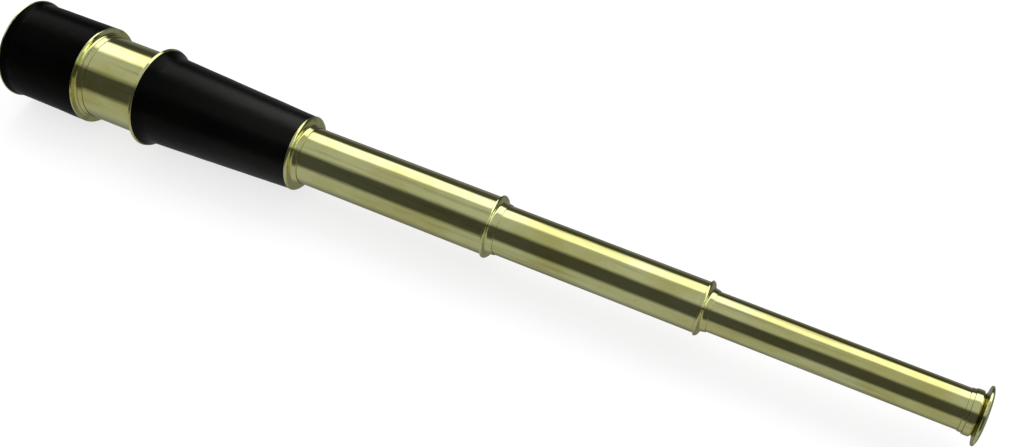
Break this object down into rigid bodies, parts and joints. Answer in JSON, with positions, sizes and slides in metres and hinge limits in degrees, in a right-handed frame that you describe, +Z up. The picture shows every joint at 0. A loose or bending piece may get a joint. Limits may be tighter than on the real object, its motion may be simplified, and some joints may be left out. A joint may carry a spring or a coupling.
{
  "type": "draw telescope",
  "caption": "Hand telescope of polished brass with black leather on its tapered barrel and sliding sunshade, sliding draw tubes, inner lenses and a flanged eye cup.",
  "frame": {"origin": "centre of the sunshade mouth on the optical axis, telescope fully drawn out", "axes": "+X along the optical axis from the sunshade mouth towards the eye, +Z up, telescope lying level"},
  "size_m": [0.6339, 0.065, 0.065],
  "materials": {
    "brass": "polished and lacquered, lightly tarnished",
    "blackened_brass": "matt black inside the tubes",
    "leather": "smooth fine-grained, satin",
    "glass": "polished"
  },
  "bodies": {
    "barrel": {"main_tube": "brass", "objective_cell": "blackened_brass", "objective_crown_lens": "glass", "objective_spacer_ring": "blackened_brass", "objective_flint_lens": "glass", "objective_retaining_ring": "blackened_brass", "barrel_front_flange": "brass", "barrel_tube": "brass", "barrel_leather": "leather", "barrel_end_ring": "brass", "barrel_friction_sleeve": "brass"},
    "sunshade": {"sunshade_tube": "brass", "sunshade_front_rim": "brass", "sunshade_leather": "leather", "sunshade_rear_ring": "brass"},
    "draw_1": {"draw_1_tube": "brass", "draw_1_stop_ring": "brass", "draw_1_end_ring": "brass", "draw_1_friction_sleeve": "brass"},
    "draw_2": {"draw_2_tube": "brass", "draw_2_stop_ring": "brass", "draw_2_end_ring": "brass", "draw_2_friction_sleeve": "brass"},
    "draw_3": {"draw_3_tube": "brass", "draw_3_stop_ring": "brass", "erector_tube": "blackened_brass", "erector_front_lens": "glass", "erector_front_ring": "blackened_brass", "erector_stop": "blackened_brass", "erector_rear_lens": "glass", "erector_rear_ring": "blackened_brass", "eyepiece_body": "brass", "field_lens": "glass", "field_lens_ring": "blackened_brass", "field_stop": "blackened_brass", "eye_lens": "glass", "eye_lens_ring": "blackened_brass", "eye_cup": "brass"}
  },
  "joints": [
    {"name": "sunshade_slide", "type": "slide", "parent": "barrel", "child": "sunshade", "axis": [1, 0, 0], "range_m": [0, 0.039]},
    {"name": "draw_1_slide", "type": "slide", "parent": "barrel", "child": "draw_1", "axis": [-1, 0, 0], "range_m": [0, 0.125]},
    {"name": "draw_2_slide", "type": "slide", "parent": "draw_1", "child": "draw_2", "axis": [-1, 0, 0], "range_m": [0, 0.1254]},
    {"name": "draw_3_slide", "type": "slide", "parent": "draw_2", "child": "draw_3", "axis": [-1, 0, 0], "range_m": [0, 0.1413]}
  ]
}
